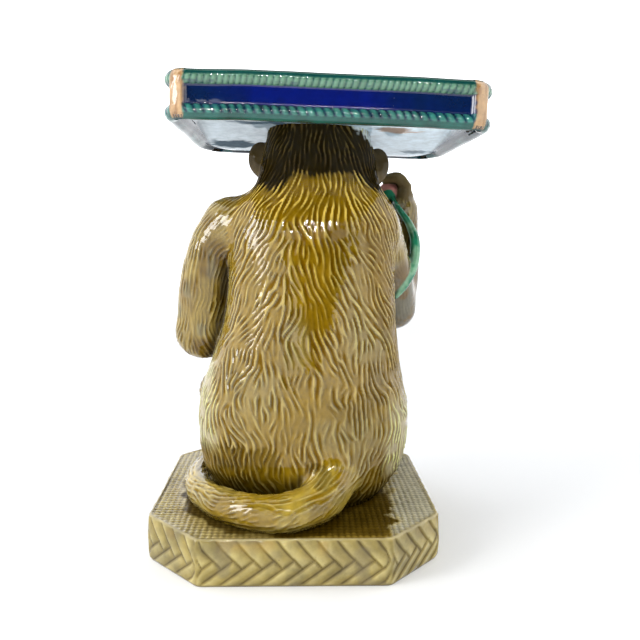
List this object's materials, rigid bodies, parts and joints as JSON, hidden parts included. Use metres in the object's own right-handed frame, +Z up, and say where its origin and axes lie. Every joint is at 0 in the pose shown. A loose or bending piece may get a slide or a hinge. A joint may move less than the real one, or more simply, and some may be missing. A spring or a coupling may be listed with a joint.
{
  "type": "figural plant stand",
  "caption": "Glazed ceramic plant stand: a seated monkey on a chamfered plaited plinth carries a square corded cushion on its head.",
  "frame": {"origin": "middle of the plinth's flat underside", "axes": "+Z up, -Y the way the monkey faces, +X the monkey's left"},
  "size_m": [0.3178, 0.29, 0.46],
  "materials": {
    "plinth_glaze": "glossy",
    "figure_glaze": "glossy",
    "cushion_glaze": "glossy"
  },
  "bodies": {
    "root": {"base": "plinth_glaze", "monkey": "figure_glaze", "cushion": "cushion_glaze"}
  },
  "joints": []
}
